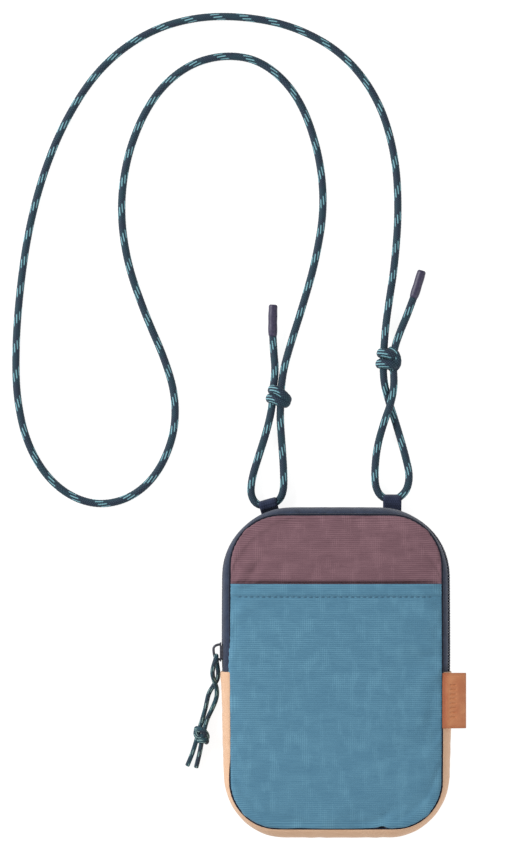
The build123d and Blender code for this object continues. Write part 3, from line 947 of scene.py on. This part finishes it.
def make_sides():
    """Sand gusset round the bottom; zip tapes and their coils over the top."""
    low = np.arange(HALF_LOOP, LOOP + 1)
    gusset = strip_piece("gusset_cloth", TAN, low, np.linspace(0, 1, 17), 0.9, ripple=0.22, lift=0.15)
    attach(gusset, "pouch", "fabric_tan", "lower_gusset")
    inside = strip_piece("gusset_inner_cloth", LINING, low, np.linspace(0.12, 0.88, 13), 0.4,
                         ripple=0.2, lift=-0.95)
    attach(inside, "pouch", "lining", "gusset_lining")
    high = np.arange(-1, HALF_LOOP + 2)
    sunk = -0.9 - 0.5 * right_side(OUTER[high % LOOP])[:, None]
    for name, v in (("front", (0.0, 0.45)), ("back", (0.55, 1.0))):
        tape = strip_piece(f"tape_{name}", TAPE, high, np.linspace(*v, 9), 0.6, ripple=0.08, lift=sunk)
        coil = make_coil(name)
        for piece, slot in ((tape, "zip_tape"), (coil, "zip_coil")):
            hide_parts(f"{slot}_{name}")
            if name == "front":
                across_fold(piece)
            else:
                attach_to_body(piece, "pouch")


def make_coil(name):
    """A moulded nylon coil: one wire wound round and round along the tape's edge."""
    points_per_turn, wire_sides = 10, 6
    sign = 1.0 if name == "front" else -1.0
    high = np.arange(-1, HALF_LOOP + 2)
    round_path = OUTER[high % LOOP]
    near_top = np.clip(round_path[:, 1] / HALF_Y, 0, 1) ** 8
    proud = (COIL_OUT - OUT_X - 0.65 + 0.2 * right_side(round_path) - 0.7 * near_top)[:, None]
    path = round_path + outward(high % LOOP) * proud
    line = resample(np.concatenate([path, np.full((len(path), 1), MID_Z)], axis=1), 4000)
    along = lengths(line)
    pitch, half_width, half_height, wire = 1.45, 1.15, 0.55, 0.32
    count = int(along[-1] / pitch * points_per_turn)
    s = np.linspace(0.3, along[-1] - 0.3, count)
    centre = np.stack([np.interp(s, along, line[:, k]) for k in range(3)], axis=1)
    ahead = unit(np.gradient(centre, axis=0))
    out = np.stack([-ahead[:, 1], ahead[:, 0], np.zeros(len(s))], axis=1)
    turn = 2 * math.pi * s / pitch + (0 if sign > 0 else math.pi)
    wound = centre + out * (half_height * np.cos(turn))[:, None]
    wound[:, 2] += sign * (0.75 + half_width * np.sin(turn))
    parts = MeshParts()
    tube(parts, wound, wire, around=wire_sides)
    return parts.build(f"coil_{name}", NYLON)


def make_piping():
    """A cord in a cloth cover round each seam, tucked under the pocket's rolled edge on the left."""
    for name, node, nodes in (
        ("front", "front_piping_upper", ("front_piping_lower", "front_piping_upper")),
        ("back", "back_piping", ("back_piping",)),
    ):
        low, high = corners(node)
        reach = (high[2] - low[2]) / 2 * 0.85
        z = SEAM_FRONT + 0.1 if name == "front" else SEAM_BACK - 0.1
        ahead = np.roll(SEAM, -1, axis=0) - np.roll(SEAM, 1, axis=0)
        normal = left_of(ahead)
        hidden = left_roll(SEAM[:, 0], SEAM[:, 1])[:, None] * (name == "front")
        centre = SEAM + normal * (0.7 - 0.9 * hidden)
        line = np.concatenate([centre, z - 0.8 * hidden], axis=1)
        parts = MeshParts()
        tube(parts, line, reach, around=12, closed=True)
        piping = parts.build(f"piping_{name}", PIPING)
        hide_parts(*nodes)
        if name == "front":
            across_fold(piping)
        else:
            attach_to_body(piping, "pouch")


def ribbon(parts, line, normal, width_axis, width, thickness, columns=9, rounding=0.35):
    """A flat band of real thickness along a line, with soft edges."""
    along = lengths(line)
    half_w, half_t = width / 2, thickness / 2
    profile = []
    for k in range(columns):
        a = -1 + 2 * k / (columns - 1)
        profile.append((a * half_w, half_t * (1 - rounding * abs(a) ** 6)))
    for k in range(columns - 1, -1, -1):
        a = -1 + 2 * k / (columns - 1)
        profile.append((a * half_w, -half_t * (1 - rounding * abs(a) ** 6)))
    profile = np.array(profile)
    points = (line[:, None] + profile[None, :, :1] * width_axis
              + profile[None, :, 1:] * normal[:, None])
    u = np.concatenate([profile[:, 0] + half_w, [half_w * 2]])
    parts.lattice(points, uv_grid(u, along), around=True, caps=True)


def make_webbing():
    """Webbing doubled round the neck cord, its ends sewn in the back seam."""
    for side, (x, y, tilt) in WEBBINGS.items():
        z, reach, width, skin, count = 3.5, 2.75, 9.6, 0.9, 60
        above_floor = 0.55
        root = HALF_Y - y
        around = np.radians(np.linspace(-100, 75, 22))
        bend = np.stack([reach * np.cos(around), z + reach * np.sin(around)], axis=1)
        start = np.array([(root, 2.2), (root + 1.6, 1.7), (-2.0, 0.9)])
        end = np.array([(-1.4, 5.9), (root + 3.4, 4.7), (root + 1.6, 3.4), (root, 2.9)])
        section = resample(np.concatenate([start, bend, end]), count)
        section[:, 1] = np.maximum(section[:, 1], above_floor)
        ahead = unit(np.gradient(section, axis=0))
        line = np.stack([np.zeros(count), section[:, 0], section[:, 1]], axis=1)
        normal = np.stack([np.zeros(count), ahead[:, 1], -ahead[:, 0]], axis=1)
        parts = MeshParts()
        ribbon(parts, line, normal, np.array((1.0, 0, 0)), width, skin)
        lean = math.radians(tilt)
        cos, sin = math.cos(lean), math.sin(lean)
        turn = np.array([[cos, sin, 0], [-sin, cos, 0], [0, 0, 1]])
        parts.points = [p @ turn + np.array((x, y, 0)) for p in parts.points]
        webbing = parts.build(f"webbing_{side}", WEBBING)
        attach(webbing, "pouch", "webbing", f"webbing_loop_{side}")


def make_tab():
    """Leather folded double, its ends in the side seam, with a blind-embossed border."""
    low, high = corners("leather_tab")
    skin, around = 1.0, 72
    root = HALF_X + 0.6
    span = high[0] - root
    turn = np.radians(np.linspace(-90, 90, 13))
    under = np.array([(root, 20.0), (root + span * 0.3, 19.2), (root + span * 0.7, 18.5)])
    fold = np.stack([high[0] - 1.15 + 0.65 * np.cos(turn), 19.1 + 0.62 * np.sin(turn)], axis=1)
    over = np.array([(root + span * 0.7, 20.15), (root + span * 0.3, 20.75),
                     (root + 0.8, 21.0), (root, 21.0)])
    section = resample(np.concatenate([under, fold, over]), around)
    upper = np.arange(around) > around // 2
    rows = np.linspace(low[1], high[1], 100)
    parts = MeshParts()
    points = np.zeros((len(rows), around, 3))
    for i, y in enumerate(rows):
        edge = min(y - low[1], high[1] - y)
        bulge = 0.35 * math.sin(math.pi * (y - low[1]) / (high[1] - low[1]))
        for j, (x, z) in enumerate(section):
            inset = min(edge, high[0] - x)
            mark = 0.12 * math.exp(-(((inset - 1.6) / 0.25) ** 2))
            bar = abs((y - low[1]) % 2.4 - 1.2)
            if edge > 5 and abs(x - root - 5.6) < 1.5:
                mark += 0.42 * math.exp(-((bar / 0.45) ** 2))
            proud = upper[j] and x > root + 2
            lift = bulge * math.sin(math.pi * (x - root) / span) - mark if proud else 0.0
            points[i, j] = (x, y, z + lift)
    parts.lattice(points, uv_grid(lengths(section), rows - low[1]))
    tab = smooth(parts.build("tab", LEATHER), 1, skin, offset=0.0)
    attach(tab, "pouch", "leather", "leather_tab")


def make_slider():
    """The slider's body keeps its own shape; its bridge is a bent bar, cut off square."""
    paint("slider_body", GUNMETAL)
    low, high = corners("slider_bridge")
    foot, crown = high[0] + 0.5, low[0] + 0.7
    middle = (low[2] + high[2]) / 2
    route = [(foot, high[1] - 0.5), (foot - 1.6, high[1] - 0.5), (crown + 0.4, high[1] - 1.6),
             (crown, high[1] - 3.0), (crown + 0.5, low[1] + 2.0), (crown + 1.3, low[1] + 0.8),
             (foot - 1.0, low[1] + 0.5), (foot, low[1] + 0.5)]
    line = route_line([(x, y, middle) for x, y in route], 0.15)
    side, up = frames(line)
    angle = np.linspace(0, 2 * math.pi, 20, endpoint=False)
    thin = np.sign(np.cos(angle)) * np.abs(np.cos(angle)) ** 0.6 * 0.68
    wide = np.sign(np.sin(angle)) * np.abs(np.sin(angle)) ** 0.6 * 1.2
    points = line[:, None] + thin[None, :, None] * side[:, None] + wide[None, :, None] * up[:, None]
    parts = MeshParts()
    parts.lattice(points, uv_grid(np.linspace(0, 6, 21), lengths(line)), around=True, caps=True)
    bridge = parts.build("slider_arch", GUNMETAL)
    attach(bridge, "zip_slider", "slider_metal", "slider_bridge")


# ---- stage
def make_stage():
    """A pale floor just under the pouch."""
    floor_mesh = bpy.data.meshes.new("floor")
    reach = 30.0
    edges = [(-reach, -reach, 0), (reach, -reach, 0), (reach, reach, 0), (-reach, reach, 0)]
    floor_mesh.from_pydata(edges, [], [(0, 1, 2, 3)])
    floor = shown("floor", floor_mesh)
    floor.location.z = -0.0002
    s = Shade("pale_floor", roughness=0.95, Specular_IOR_Level=0.1)
    s.surface.inputs["Base Color"].default_value = (0.2, 0.2, 0.2, 1)
    s.surface.inputs["Emission Color"].default_value = (1, 1, 1, 1)
    s.surface.inputs["Emission Strength"].default_value = 0.9
    floor_mesh.materials.append(s.material)


def area_light(name, place, target, size, power):
    """A round soft light at a place, turned to its target."""
    data = bpy.data.lights.new(name, "AREA")
    data.shape = "DISK"
    data.size = size
    data.energy = power
    light = shown(name, data)
    light.location = place
    light.rotation_euler = (Vector(target) - Vector(place)).to_track_quat("-Z", "Y").to_euler()


def make_light():
    """Key light from the left, a weaker fill from the right, and an even surround."""
    middle = (-0.04, 0.12, 0.0)
    area_light("key", (-1.95, 1.0, 1.2), middle, 1.0, 63)
    area_light("fill", (1.5, -1.0, 1.5), middle, 1.6, 21)
    world = bpy.data.worlds.new("studio")
    world.use_nodes = True
    world.node_tree.nodes["Background"].inputs[0].default_value = (1, 1, 1, 1)
    world.node_tree.nodes["Background"].inputs[1].default_value = 0.47
    bpy.context.scene.world = world


def make_camera():
    """Straight down from far away, with the top of the pouch towards the top of the picture."""
    data = bpy.data.cameras.new("camera")
    data.lens = 200
    data.sensor_width = 36
    camera = shown("camera", data)
    middle_x, middle_y = -43.45, 129.15
    frame_height, sharp_height = 446.25, 12
    distance = frame_height / data.sensor_width * data.lens
    camera.location = (middle_x * MM, middle_y * MM, (distance + sharp_height) * MM)
    data.clip_end = 50
    bpy.context.scene.camera = camera


make_camera()
make_light()
make_stage()
bpy.context.scene.view_settings.view_transform = "Standard"
make_neck_cord()
make_pull()
make_front()
make_back()
make_sides()
make_piping()
make_webbing()
make_tab()
make_slider()

bpy.context.view_layer.update()
